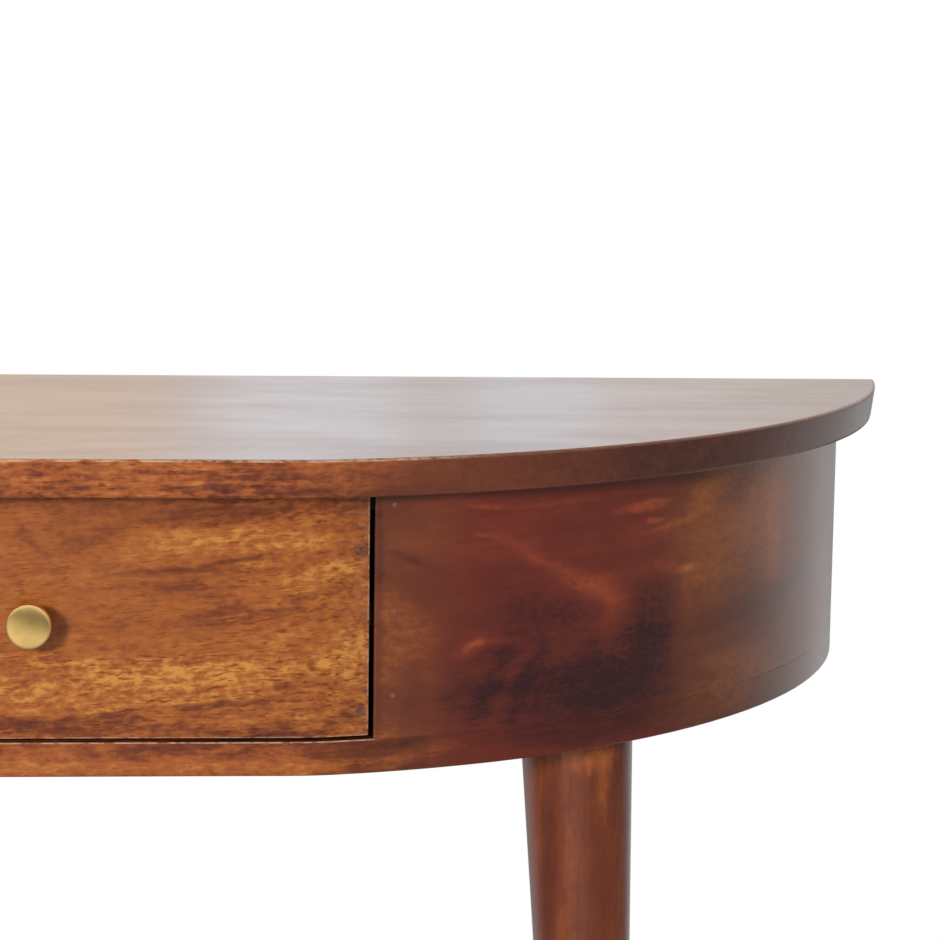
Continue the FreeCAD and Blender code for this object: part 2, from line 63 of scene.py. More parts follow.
# Colours that no setting holds. The first two are multiplied with the stain's.
RED_STAIN = (1.0, 0.62, 0.85)
FLECK_STAIN = (0.45, 0.35, 0.28)
WORN_WOOD = (0.62, 0.42, 0.28)
VENEER = (0.62, 0.40, 0.21)
PLY_PALE, PLY_DARK, PLY_PORES = (0.50, 0.31, 0.16), (0.20, 0.10, 0.045), (0.12, 0.06, 0.03)
KNOB_RIM_COLOUR = (0.95, 0.64, 0.27)
KNOB_EDGE_TINT = (1.0, 0.80, 0.48)

# How the stained wood's finish varies: what each adds to its roughness, and its coat
CLOUD_ROUGHNESS = 0.06
FLECK_ROUGHNESS = 0.12
UNDERSIDE_ROUGHNESS = 0.4
ARRIS_ROUGHNESS = 0.5
COAT_ROUGHNESS = 0.25

PLY_LAYERS = 5

# The knob's half section: radii and lengths in millimetres, the face corner's turn in degrees
KNOB_BORE, KNOB_BORE_DEPTH = 2.1, 10.1
KNOB_FOOT, KNOB_FOOT_HEIGHT, KNOB_FOOT_EDGE = 6.5, 1.3, 0.2
KNOB_STEM, KNOB_LOWER_FILLET, KNOB_UPPER_FILLET = 4.5, 2.0, 1.2
KNOB_DISC_BACK, KNOB_DISC_THICK, KNOB_BACK_CORNER = 16.0, 6.0, 1.0
KNOB_FACE_CORNER, KNOB_FACE_CORNER_TURN = 1.1, 76
KNOB_DOME = 0.8  # how far the face stands out in the middle
KNOB_DOME_AT_RIM = 0.86  # share of the dome that has dropped where the rounded rim begins
KNOB_RIM_START, KNOB_RIM_END = 10.1, 10.8  # radii between which the face turns yellower
KNOB_SIDES, KNOB_FACE_RINGS = 96, 10

# Listed figure of the wood: place along the grain and across it, half length and half
# height, all in millimetres, turn in degrees, change of tone, and how soft the edge is
DRAWER_FIGURE = [
    (32, 714, 24, 12, 0, -0.09, 0.9), (4, 701, 14, 2.0, -55, -0.12, 0.9),
    (93, 718, 32, 5, 3, -0.16, 0.7), (85, 705, 44, 7, 4, 0.24, 0.9),
    (130, 701, 20, 5, 12, 0.22, 0.8), (68, 689, 24, 1.1, 5, -0.16, 0.9),
    (100, 694, 22, 0.9, 10, -0.16, 0.9), (122, 700, 12, 1.6, 18, -0.14, 0.9),
    (72, 683, 26, 4.5, 2, -0.13, 0.9), (88, 680, 16, 2.5, 4, -0.09, 0.9),
    (146, 689, 15, 4.5, 6, 0.22, 0.8), (101, 668, 20, 5, -4, -0.09, 0.9),
    (131, 667, 15, 4, 10, -0.09, 0.9), (98, 660, 18, 3.5, 4, -0.10, 0.9),
    (36, 630, 62, 11, 4, 0.24, 0.8), (104, 637, 50, 8, 3, 0.12, 0.9),
    (158, 645, 17, 9, 4, 0.16, 0.8), (124, 630, 5, 3.5, -20, -0.24, 0.7),
    (117, 622, 7, 2.2, 0, -0.22, 0.7), (137, 630, 11, 2.0, 0, -0.16, 0.8),
    (90, 620, 21, 1.5, 4, -0.24, 0.8), (45, 614, 16, 2.0, 6, -0.18, 0.8),
    (20, 607, 44, 4, 0, -0.08, 0.9), (112, 605, 26, 3, 2, -0.18, 0.8),
    (140, 605, 20, 2.6, 2, -0.16, 0.8), (160, 614, 8, 2.0, 30, -0.18, 0.8),
    (167, 700, 6, 4.5, 0, -0.16, 0.4), (167, 615, 6, 4.5, 0, -0.16, 0.4),
    (-60, 702, 52, 7, -3, 0.12, 0.9), (-92, 690, 40, 1.8, 4, -0.24, 0.8),
    (-84, 668, 42, 8, 4, -0.12, 0.8), (-60, 648, 48, 2, 3, -0.18, 0.8),
    (-110, 626, 50, 10, 2, 0.14, 0.8), (-140, 690, 24, 10, -6, -0.12, 0.9),
    (-40, 610, 60, 3, 1, -0.16, 0.8),
]
PANEL_FIGURE = [
    (98, 665, 3, 90, 0, -0.14, 0.8), (92, 632, 44, 46, 0, 0.12, 0.22),
    (132, 612, 26, 24, 20, -0.10, 0.8), (118, 600, 8, 40, 0, -0.06, 0.3),
    (185, 692, 30, 3, -30, 0.06, 0.9), (212, 677, 26, 5, -28, 0.12, 0.9),
    (234, 665, 15, 8, -25, 0.15, 0.9), (236, 648, 6, 10, 0, 0.10, 0.8),
    (149, 645, 8, 4, 30, 0.22, 0.9), (162, 647, 14, 2, 0, 0.14, 0.8),
    (205, 634, 56, 36, 10, -0.18, 0.8), (190, 665, 40, 12, -20, -0.10, 0.9),
    (182, 622, 26, 5, 60, -0.10, 0.8), (161, 624, 24, 5, 63, -0.10, 0.8),
    (206, 643, 12, 9, 0, 0.05, 0.9), (271, 650, 19, 24, 0, -0.17, 0.45),
    (255, 614, 60, 24, 8, -0.16, 0.9), (262, 711, 17, 2.6, 3, 0.26, 0.8),
    (268, 703, 6, 1.6, 0, 0.24, 0.8), (292, 701, 24, 2.0, 8, 0.14, 0.8),
    (318, 717, 20, 7, 12, 0.18, 0.9), (299, 673, 8, 2.4, 0, 0.24, 0.8),
    (273, 677, 14, 6, 0, 0.08, 0.9), (318, 680, 26, 28, 20, 0.12, 0.9),
    (372, 692, 34, 22, 40, 0.10, 0.9), (388, 684, 8, 28, 0, 0.14, 0.9),
    (368, 640, 36, 19, 0, -0.16, 0.9), (340, 604, 40, 16, 0, 0.14, 0.8),
    (157, 719, 8, 1.6, -4, 0.14, 0.8), (195, 718, 30, 1.4, 0, 0.07, 0.8),
    (157, 704, 7, 1.2, -10, 0.10, 0.8), (118, 693, 15, 2, -20, -0.12, 0.8),
    (145, 706, 62, 26, 0, -0.06, 0.9), (385, 695, 30, 32, 0, 0.09, 0.9),
    # The first oval on the next line is painted light: it lifts the shade under the top at the
    # right panel's far end, and the left panel gets it turned upside down, low down
    (392, 727, 52, 11, 0, 0.12, 0.9), (258, 626, 30, 30, 0, -0.05, 0.8),
    (104, 722, 14, 9, 0, -0.06, 0.9), (104, 667, 10, 14, 0, 0.05, 0.9),
    (104, 618, 11, 12, 0, -0.07, 0.9),
]
PANEL_LOW, PANEL_START = 600, 100  # its lower edge, and the edge beside the drawer
# The left panel has the right one's figure upside down about this height, and moved along
PANEL_TURN_HEIGHT, PANEL_TURN_SHIFT = 661, 20
LEG_FIGURE = [
    (573, 302, 9, 8, 0, 0.20, 0.8), (572, 288, 9, 16, 0, 0.10, 0.9),
    (556, 305, 18, 4, 4, 0.15, 0.8), (500, 276, 52, 3.5, 0, -0.16, 0.8),
    (480, 303, 40, 8, 0, -0.08, 0.9), (300, 300, 120, 6, 1, 0.10, 0.9),
    (560, -300, 40, 5, 3, 0.20, 0.8), (430, -288, 110, 4, 0, -0.16, 0.9),
]
BAND_FIGURE = [
    (10, 586, 60, 4, 0, 0.08, 0.7), (95, 586, 34, 4, 0, 0.12, 0.7),
    (135, 586, 20, 4, 0, 0.08, 0.8), (65, 595, 70, 3.5, 0, 0.06, 0.8),
    (200, 591, 28, 4, 8, 0.16, 0.8), (-90, 590, 70, 4, 0, 0.14, 0.8),
]

# The stage, in metres and radians
CAMERA_PLACE = Vector((0.11574, -1.65286, 0.96648))
CAMERA_YAW = 0.07119
CAMERA_PITCH = 0.14857
CAMERA_ROLL = 0.0140
KEY_PLACE, KEY_AIM, KEY_SIZE = (-0.80, -2.48, 1.32), (0.1, -0.1, 0.66), 0.42
FLOOR_HALF = 12.0
ROOM_MIDDLE = (0, 0, 0.66)  # the floor shows the mirrored room as seen from here


class WoodSettings(bpy.types.PropertyGroup):
    deep: FloatVectorProperty(
        name="Deep", description="Darkest heartwood colour", subtype="COLOR",
        default=(0.036, 0.012, 0.010), min=0, max=1)
    brown: FloatVectorProperty(
        name="Brown", description="Reddish brown of the stained wood", subtype="COLOR",
        default=(0.135, 0.034, 0.014), min=0, max=1)
    orange: FloatVectorProperty(
        name="Orange", description="Warm colour between the streaks", subtype="COLOR",
        default=(0.320, 0.093, 0.023), min=0, max=1)
    gold: FloatVectorProperty(
        name="Gold", description="Lightest colour of the figured wood", subtype="COLOR",
        default=(0.500, 0.212, 0.047), min=0, max=1)
    plain: FloatVectorProperty(
        name="Inner wood", description="Lightly coated wood inside the case", subtype="COLOR",
        default=(0.440, 0.205, 0.085), min=0, max=1)
    gloss: FloatProperty(
        name="Roughness", description="Roughness of the satin finish", subtype="FACTOR",
        default=0.18, min=0.05, max=1)
    streak_width: FloatProperty(
        name="Streak width", description="Usual distance between two streaks of the grain",
        subtype="DISTANCE", unit="LENGTH", default=0.016, min=0.002, max=0.1)


class MetalSettings(bpy.types.PropertyGroup):
    brass: FloatVectorProperty(
        name="Brass", description="Colour of the knob and the threaded inserts", subtype="COLOR",
        default=(0.880, 0.590, 0.205), min=0, max=1)
    steel: FloatVectorProperty(
        name="Steel", description="Colour of the screws, nails and bolts", subtype="COLOR",
        default=(0.560, 0.560, 0.540), min=0, max=1)
    knob_roughness: FloatProperty(
        name="Knob roughness", description="How satin the knob is", subtype="FACTOR",
        default=0.14, min=0.05, max=1)


class StageSettings(bpy.types.PropertyGroup):
    lens: FloatProperty(
        name="Lens", description="Focal length of the camera", subtype="DISTANCE_CAMERA",
        default=113.92, min=10, max=300)
    key_power: FloatProperty(
        name="Key light", description="Power of the soft light at the front left",
        subtype="POWER", unit="POWER", default=56, min=0, max=500)
    sky: FloatProperty(
        name="Room light", description="Strength of the even light of the room",
        default=0.33, min=0, max=2)


def shaded(colour, factor):
    """The colour made darker or lighter."""
    return tuple(factor * channel for channel in colour)


class Graph:
    """Adds nodes to one node tree. Each input is an output to link, or a value."""

    def __init__(self, tree):
        self.tree = tree

    def feed(self, node, inputs):
        """Links or sets inputs of a node, by name or number."""
        for key, value in inputs.items():
            socket = node.inputs[key]
            if isinstance(value, bpy.types.NodeSocket):
                self.tree.links.new(value, socket)
            elif socket.type == "RGBA":
                socket.default_value = (*value, 1.0)
            else:
                socket.default_value = value

    def add(self, kind, inputs, out=0, **settings):
        """Adds a node with these settings and returns one of its outputs."""
        node = self.tree.nodes.new(kind)
        for name, value in settings.items():
            setattr(node, name, value)
        self.feed(node, inputs)
        return node.outputs[out]

    def place(self):
        """Where the point is on its object."""
        return self.add("ShaderNodeTexCoord", {}, "Object")

    def normal(self):
        """Which way the surface looks, in the object's directions."""
        return self.add("ShaderNodeTexCoord", {}, "Normal")

    def math(self, operation, *values):
        return self.add("ShaderNodeMath", dict(enumerate(values)), operation=operation)

    def plus(self, total, *values):
        for value in values:
            total = self.math("ADD", total, value)
        return total

    def times(self, product, *values):
        for value in values:
            product = self.math("MULTIPLY", product, value)
        return product

    def rest(self, mask):
        """What a mask leaves out."""
        return self.math("SUBTRACT", 1.0, mask)

    def vector(self, operation, *values, out="Vector"):
        return self.add("ShaderNodeVectorMath", dict(enumerate(values)), out, operation=operation)

    def length(self, vector):
        return self.vector("LENGTH", vector, out="Value")

    def resized(self, vector, factor):
        return self.add("ShaderNodeVectorMath", {0: vector, "Scale": factor}, operation="SCALE")

    def turned(self, vector, angle):
        """The vector turned about the Y axis."""
        return self.add("ShaderNodeVectorRotate", {"Vector": vector, "Angle": angle},
                        rotation_type="Y_AXIS")

    def parts(self, vector):
        """The vector's X, Y and Z."""
        node = self.tree.nodes.new("ShaderNodeSeparateXYZ")
        self.feed(node, {0: vector})
        return tuple(node.outputs)

    def join(self, x, y, z):
        return self.add("ShaderNodeCombineXYZ", {0: x, 1: y, 2: z})

    def scaled(self, vector, along, across):
        """The vector with its grain direction and the two across it stretched."""
        return self.vector("MULTIPLY", vector, (along, across, across))

    def noise(self, vector, detail=2.0, roughness=0.5, distortion=0.0, out="Fac"):
        return self.add("ShaderNodeTexNoise", {
            "Vector": vector, "Scale": 1.0, "Detail": detail, "Roughness": roughness,
            "Distortion": distortion}, out)

    def wander(self, vector, detail=1.0, roughness=0.5):
        """Noise in three directions, from -0.5 to 0.5."""
        return self.vector("SUBTRACT", self.noise(vector, detail, roughness, out="Color"),
                           (0.5, 0.5, 0.5))

    def ease(self, value, start, end, low=0.0, high=1.0):
        """A smooth change from low to high while the value goes from start to end."""
        return self.add("ShaderNodeMapRange", {
            0: value, 1: start, 2: end, 3: low, 4: high}, interpolation_type="SMOOTHSTEP")

    def blend(self, factor, first, second, kind="MIX"):
        return self.add("ShaderNodeMix", {0: factor, 6: first, 7: second}, 2,
                        data_type="RGBA", blend_type=kind)

    def relief(self, strength, distance, height):
        """A normal that is bent by a height."""
        return self.add("ShaderNodeBump", {
            "Strength": strength, "Distance": distance, "Height": height})

    def group(self, name, inputs):
        """Places a shared group and returns its outputs by name."""
        node = self.tree.nodes.new("ShaderNodeGroup")
        node.node_tree = bpy.data.node_groups[name]
        self.feed(node, inputs)
        return node.outputs


def new_group(name, inputs, outputs):
    """An empty shader group with these sockets; returns its graph, inputs and end node."""
    tree = bpy.data.node_groups.new(name, "ShaderNodeTree")
    for title, kind, value in inputs:
        socket = tree.interface.new_socket(title, in_out="INPUT", socket_type=kind)
        if value is not None:
            socket.default_value = value
    for title, kind in outputs:
        tree.interface.new_socket(title, in_out="OUTPUT", socket_type=kind)
    start = tree.nodes.new("NodeGroupInput")
    end = tree.nodes.new("NodeGroupOutput")
    return Graph(tree), start.outputs, end


FLOAT = "NodeSocketFloat"
VECTOR = "NodeSocketVector"
COLOUR = "NodeSocketColor"


def build_wood_grain(streak_width):
    """Streaks, fibres, flecks and figure of a board whose grain runs along the vector's X.

    The noises' scales are per metre, along the grain and across it.
    """
    g, start, end = new_group("wood_grain", [
        ("Vector", VECTOR, None), ("Waviness", FLOAT, 0.010), ("Curl", FLOAT, 0.5),
    ], [("Streaks", FLOAT), ("Fibre", FLOAT), ("Flecks", FLOAT), ("Figure", FLOAT),
        ("Clouds", FLOAT), ("Mottle", FLOAT)])
    vector = start["Vector"]
    drift = g.vector("MULTIPLY", g.wander(g.scaled(vector, 5, 14)), (0, 1, 1))
    waved = g.vector("ADD", vector, g.resized(drift, start["Waviness"]))
    ripple = g.vector("MULTIPLY", g.wander(g.scaled(vector, 70, 110)), (0, 0.005, 0.005))
    curled = g.vector("ADD", waved, g.resized(ripple, start["Curl"]))
    streaks = g.noise(g.scaled(waved, 4, 1 / streak_width), 4.0, 0.6)
    fibre = g.noise(g.scaled(curled, 24, 430), 3.0, 0.6)
    figure = g.noise(g.scaled(curled, 60, 170), 2.0, 0.5, 0.5)
    clouds = g.noise(g.scaled(waved, 9, 26), 2.0, 0.5)
    mottle = g.noise(g.scaled(curled, 190, 330), 2.0, 0.6)
    # The flecks crowd where the figure and the clouds are strong
    flecks = g.ease(g.noise(g.scaled(curled, 130, 880), 1.0, 0.4), 0.56, 0.68)
    crowd = g.ease(g.plus(figure, g.times(clouds, 0.5)), 0.55, 0.85, 0.15, 1.0)
    g.feed(end, {
        "Streaks": g.ease(streaks, 0.30, 0.70),
        "Fibre": g.ease(fibre, 0.28, 0.72),
        "Flecks": g.times(flecks, crowd),
        "Figure": g.ease(figure, 0.32, 0.68),
        "Clouds": g.ease(clouds, 0.30, 0.70),
        "Mottle": g.ease(mottle, 0.30, 0.70),
    })


def build_frayed_place():
    """Shifts a place a little and unevenly, so that what is drawn there frays along the grain."""
    g, start, end = new_group("frayed_place", [
        ("Vector", VECTOR, None), ("Amount", FLOAT, 1.0),
    ], [("Vector", VECTOR)])
    vector = start["Vector"]
    broad = g.wander(g.scaled(vector, 28, 70), 2.0, 0.55)
    fine = g.wander(g.scaled(vector, 120, 700), 2.0, 0.6)
    shift = g.vector("ADD", g.vector("MULTIPLY", broad, (0.024, 0, 0.007)),
                     g.vector("MULTIPLY", fine, (0.010, 0, 0.0016)))
    g.feed(end, {"Vector": g.vector("ADD", vector, g.resized(shift, start["Amount"]))})


def build_figure_patch():
    """An oval of other wood, placed along and across the grain."""
    g, start, end = new_group("figure_patch", [
        ("Vector", VECTOR, None), ("Place", VECTOR, None), ("Half size", VECTOR, None),
        ("Turn", FLOAT, 0.0), ("Softness", FLOAT, 0.8),
    ], [("Mask", FLOAT)])
    away = g.vector("MULTIPLY", g.vector("SUBTRACT", start["Vector"], start["Place"]), (1, 0, 1))
    reach = g.length(g.vector("DIVIDE", g.turned(away, start["Turn"]), start["Half size"]))
    outer = g.math("ADD", 1.0, start["Softness"])
    inner = g.math("SUBTRACT", 1.0, start["Softness"])
    g.feed(end, {"Mask": g.ease(reach, outer, inner)})


def build_stain_colour():
    """Colour of the stained wood for a tone from 0, dark heartwood, to 1, golden figure."""
    g, start, end = new_group("stain_colour", [
        ("Tone", FLOAT, 0.5), ("Redness", FLOAT, 0.0), ("Deep", COLOUR, None),
        ("Brown", COLOUR, None), ("Orange", COLOUR, None), ("Gold", COLOUR, None),
    ], [("Color", COLOUR)])
    tone = start["Tone"]
    colour = g.blend(g.ease(tone, 0.0, 0.34), start["Deep"], start["Brown"])
    colour = g.blend(g.ease(tone, 0.28, 0.68), colour, start["Orange"])
    colour = g.blend(g.ease(tone, 0.62, 1.0), colour, start["Gold"])
    g.feed(end, {"Color": g.blend(start["Redness"], colour, RED_STAIN, "MULTIPLY")})


def build_rubbed_edge():
    """Arrises between the faces that look along one direction and those that look across it.

    The mask is worn away in places, and only on the side that looks in that direction.
    """
    g, start, end = new_group("rubbed_edge", [
        ("Normal", VECTOR, None), ("Facing", VECTOR, None), ("Vector", VECTOR, None),
    ], [("Mask", FLOAT), ("Arris", FLOAT)])
    turn = g.vector("DOT_PRODUCT", start["Normal"], start["Facing"], out="Value")
    worn = g.ease(g.noise(g.scaled(start["Vector"], 160, 420), 3.0, 0.6), 0.34, 0.60)
    either = g.math("ABSOLUTE", turn)
    g.feed(end, {
        "Mask": g.times(g.ease(turn, 0.25, 0.55), g.ease(turn, 0.985, 0.93), worn),
        "Arris": g.times(g.ease(either, 0.08, 0.25), g.ease(either, 0.99, 0.95)),
    })


def build_brushed_metal():
    """Fine turning marks round the vector's Y axis, and the smears of hands."""
    g, start, end = new_group("brushed_metal", [
        ("Vector", VECTOR, None), ("Fineness", FLOAT, 2600.0),
    ], [("Marks", FLOAT), ("Smears", FLOAT)])
    radius = g.length(g.vector("MULTIPLY", start["Vector"], (1, 0, 1)))
    ring = g.join(g.times(radius, start["Fineness"]), 0, 0)
    g.feed(end, {
        "Marks": g.times(g.noise(ring, 2.0, 0.6), g.ease(radius, 0.001, 0.005)),
        "Smears": g.noise(g.vector("MULTIPLY", start["Vector"], (130, 130, 130)), 2.0, 0.5),
    })


def build_studio_room():
    """What gloss sees in a direction: a wall with windows, a dim room and a bright ceiling."""
    g, start, end = new_group("studio_room", [("Vector", VECTOR, None)], [("Color", COLOUR)])
    across, depth, height = g.parts(start["Vector"])
    # Grey levels at the sides, and in front of the table: there a dark strip slants between
    # a pale floor and a pale upper half
    aside = g.times(g.ease(depth, 0.08, 0.62, 0.29, 0.80), g.ease(depth, 0.72, 0.93, 1.0, 0.55))
    tilted = g.math("MULTIPLY_ADD", across, 0.22, g.math("ADD", height, 0.018))
    front = g.plus(g.ease(tilted, -0.03, -0.36, 0.24, 0.88),
                   g.ease(tilted, -0.05, 0.14, 0.0, 0.6),
                   g.ease(across, -0.08, -0.40, 0.0, 0.25))
    ahead = g.ease(depth, -0.75, -0.95)
    level = g.math("MULTIPLY_ADD", ahead, g.math("SUBTRACT", front, aside), aside)
    # The wall that the top mirrors: warm at the left, with a near and a far window
    left = g.ease(across, -0.01, -0.05)
    wall = g.blend(left, (1.11, 1.09, 1.05), (1.30, 1.14, 0.95))
    near_window = g.times(g.ease(across, -0.03, 0.0), g.ease(across, 0.055, 0.035))
    far_window = g.times(g.ease(across, 0.065, 0.08), g.ease(across, 0.12, 0.105))
    wall = g.blend(near_window, wall, (1.26, 1.31, 1.33))
    wall = g.blend(far_window, wall, (1.18, 1.23, 1.26))
    wall = g.blend(g.ease(across, 0.13, 0.20), wall, (0.91, 0.89, 0.86))
    # It grows brighter and cooler upward, and its low left part is dim
    rise = g.blend(g.ease(height, 0.10, 0.17), (0.90, 0.88, 0.86), (1.29, 1.36, 1.45))
    low_left = g.times(g.ease(height, 0.132, 0.114), left)
    rise = g.blend(low_left, rise, (0.67, 0.64, 0.58))
    wall = g.blend(1.0, wall, rise, "MULTIPLY")
    behind = g.times(g.ease(height, -0.05, 0.09), g.ease(depth, 0.3, 0.7))
    room = g.blend(behind, g.join(level, level, level), wall)
    room = g.blend(g.ease(height, 0.12, 0.45), room, (0.95, 0.95, 0.95))
    g.feed(end, {"Color": room})


def new_material(name):
    """A material with one Principled shader; returns it with its graph and the shader."""
    material = bpy.data.materials.new(name)
    material.use_nodes = True
    tree = material.node_tree
    return material, Graph(tree), tree.nodes["Principled BSDF"]


def grain_vector(g, direction):
    """The place on the object, turned so that X runs along the grain, and the place itself.

    The grain runs along X, Y or Z, or along the "arc" of the case's ends. The "band" is the
    bottom board, with the arc's grain on its edge and a straight one on its faces.
    """
    place = g.place()
    x, y, z = g.parts(place)
    if direction == "X":
        return place, place
    if direction == "Y":
        return g.join(y, x, z), place
    if direction == "Z":
        return g.join(z, y, x), place
    across = g.math("SUBTRACT", g.math("ABSOLUTE", x), END_CENTRE[0])
    behind = g.math("SUBTRACT", y, END_CENTRE[1])
    angle = g.math("ADD", g.math("ARCTAN2", behind, across), math.pi / 2)
    reach = g.math("SQRT", g.plus(g.times(across, across), g.times(behind, behind)))
    along = g.times(angle, END_RADIUS)
    if direction == "arc":
        return g.join(along, reach, z), place
    _, _, up = g.parts(g.normal())
    along = g.times(g.plus(along, BAND_START), g.math("SIGN", x))
    edge = g.ease(g.math("ABSOLUTE", up), 0.8, 0.6)
    return g.vector("ADD", g.resized(g.join(along, reach, z), edge),
                    g.resized(place, g.rest(edge))), place


def figured_tone(g, vector, tone, figure, fraying, mottle):
    """Adds the hand-placed figure to a tone, broken up by the mottled grain."""
    broken = g.math("MULTIPLY_ADD", mottle, 0.5, 0.75)
    frayed = g.group("frayed_place", {"Vector": vector, "Amount": fraying})["Vector"]
    for along, across, half_long, half_tall, turn, change, softness in figure:
        mask = g.group("figure_patch", {
            "Vector": frayed, "Place": (along * MM, 0, across * MM),
            "Half size": (half_long * MM, 1.0, half_tall * MM), "Turn": math.radians(turn),
            "Softness": softness})["Mask"]
        tone = g.math("MULTIPLY_ADD", g.times(mask, broken), change, tone)
    return tone


def stained_wood(name, direction, tone, weights, figure=(), *, ior, offset=(0, 0, 0), slope=0,
                 redness=0.0, waviness=0.010, curl=0.5, fraying=1.0, bump=0.2,
                 facing=(0, 0, 1), worn=0.5):
    """A satin, chestnut-stained board.

    tone is a number or a function of the graph, the place and the normal, which also gives how
    strong the grain and the wear are, how red the stain is and how much coat lies on it; weights
    are for streaks, fibre, figure, clouds, mottle and flecks; slope tilts the grain, in degrees;
    facing is where the outer face looks, and worn how much its arrises are rubbed.
    """
    wood = bpy.context.scene.console_wood
    material, g, shader = new_material(name)
    vector, place = grain_vector(g, direction)
    normal = g.normal()
    slanted = g.turned(g.vector("ADD", vector, offset), math.radians(slope))
    grain = g.group("wood_grain", {"Vector": slanted, "Waviness": waviness, "Curl": curl})
    if callable(tone):
        value, strength, wear, redness, coat = tone(g, place, normal)
        g.feed(shader, {"Coat Weight": coat, "Coat Roughness": COAT_ROUGHNESS})
    else:
        value, strength, wear = tone, 1.0, 1.0

    for title, weight in zip(("Streaks", "Fibre", "Figure", "Clouds", "Mottle"), weights):
        centred = g.times(g.math("SUBTRACT", grain[title], 0.5), strength)
        value = g.math("MULTIPLY_ADD", centred, weight, value)
    value = figured_tone(g, vector, value, figure, fraying, grain["Mottle"])
    colour = g.group("stain_colour", {
        "Tone": value, "Redness": redness, "Deep": wood.deep, "Brown": wood.brown,
        "Orange": wood.orange, "Gold": wood.gold})["Color"]
    flecks = g.times(grain["Flecks"], weights[-1], strength)
    colour = g.blend(flecks, colour, FLECK_STAIN, "MULTIPLY")
    rubbed = g.group("rubbed_edge", {"Normal": normal, "Facing": facing, "Vector": vector})
    wear = g.times(worn, wear)
    colour = g.blend(g.times(rubbed["Mask"], wear), colour, WORN_WOOD)

    _, _, up = g.parts(normal)
    rough = g.math("MULTIPLY_ADD", grain["Clouds"], CLOUD_ROUGHNESS,
                   wood.gloss - CLOUD_ROUGHNESS / 2)
    rough = g.math("MULTIPLY_ADD", flecks, FLECK_ROUGHNESS, rough)
    rough = g.plus(rough, g.ease(up, -0.15, -0.5, 0.0, UNDERSIDE_ROUGHNESS))
    rough = g.math("MULTIPLY_ADD", g.times(rubbed["Arris"], wear), ARRIS_ROUGHNESS, rough)
    height = g.math("SUBTRACT", g.times(grain["Fibre"], 0.3, strength), flecks)
    g.feed(shader, {"Base Color": colour, "Roughness": rough, "IOR": ior,
                    "Normal": g.relief(bump, 0.1 * MM, height)})
    return material


def inner_wood(name, direction, offset=(0, 0, 0), painted_shade=1.0):
    """Planed, thinly coated wood of the pieces inside the case."""
    # The shade factor darkens the wood's colour: painted shade where the piece shows only in dark
    # gaps
    plain = shaded(bpy.context.scene.console_wood.plain, painted_shade)
    material, g, shader = new_material(name)
    vector, _ = grain_vector(g, direction)
    grain = g.group("wood_grain", {
        "Vector": g.vector("ADD", vector, offset), "Waviness": 0.012, "Curl": 0.2})
    pale = g.math("MULTIPLY_ADD", grain["Clouds"], 0.35, g.times(grain["Streaks"], 0.5))
    colour = g.blend(pale, shaded(plain, 0.55), plain)
    colour = g.blend(g.times(grain["Fibre"], 0.25), colour, shaded(plain, 1.25))
    colour = g.blend(g.times(grain["Flecks"], 0.5), colour, shaded(plain, 0.35))
    height = g.math("MULTIPLY_ADD", grain["Flecks"], -1.0, g.times(grain["Fibre"], 0.6))
    g.feed(shader, {
        "Base Color": colour,
        "Roughness": g.math("MULTIPLY_ADD", grain["Fibre"], 0.12, 0.50),
        "Normal": g.relief(0.35, 0.3 * MM, height),
    })
    return material


def layered_wood(name, thickness, bottom):
    """Plywood: a plain veneer on both faces and crossed layers at its edges."""
    plain = tuple(bpy.context.scene.console_wood.plain)
    material, g, shader = new_material(name)
    place = g.place()
    _, _, up = g.parts(g.normal())
    _, _, z = g.parts(place)
    veneer = g.group("wood_grain", {"Vector": place, "Waviness": 0.03, "Curl": 0.1})
    pale = g.math("MULTIPLY_ADD", veneer["Streaks"], 0.6, g.times(veneer["Fibre"], 0.3))
    face = g.blend(pale, shaded(plain, 0.9), VENEER)
    layer = g.times(g.math("SUBTRACT", z, bottom), PLY_LAYERS / thickness)
    crossed = g.math("PINGPONG", layer, 1.0)
    ends = g.noise(g.vector("MULTIPLY", place, (300, 300, 2400)), 2.0)
    edge = g.blend(g.ease(crossed, 0.42, 0.58), PLY_DARK, PLY_PALE)
    edge = g.blend(g.ease(ends, 0.35, 0.75, 0.0, 0.5), edge, PLY_PORES)
    g.feed(shader, {
        "Base Color": g.blend(g.ease(g.math("ABSOLUTE", up), 0.5, 0.8), edge, face),
        "Roughness": g.math("MULTIPLY_ADD", veneer["Fibre"], 0.12, 0.52),
        "Normal": g.relief(0.3, 0.2 * MM, veneer["Fibre"]),
    })
    return material


def speckled(name, grains, first, second, roughness, spread, *, detail=2.0, ends=None,
             metallic=0.0):
    """A material whose colour and roughness follow one fine noise.

    grains counts them per metre in each direction; ends narrows the noise's range.
    """
    material, g, shader = new_material(name)
    speck = g.noise(g.vector("MULTIPLY", g.place(), grains), detail)
    if ends:
        speck = g.ease(speck, *ends)
    g.feed(shader, {
        "Base Color": g.blend(speck, first, second),
        "Roughness": g.math("MULTIPLY_ADD", speck, spread, roughness),
        "Metallic": metallic,
    })
    return material


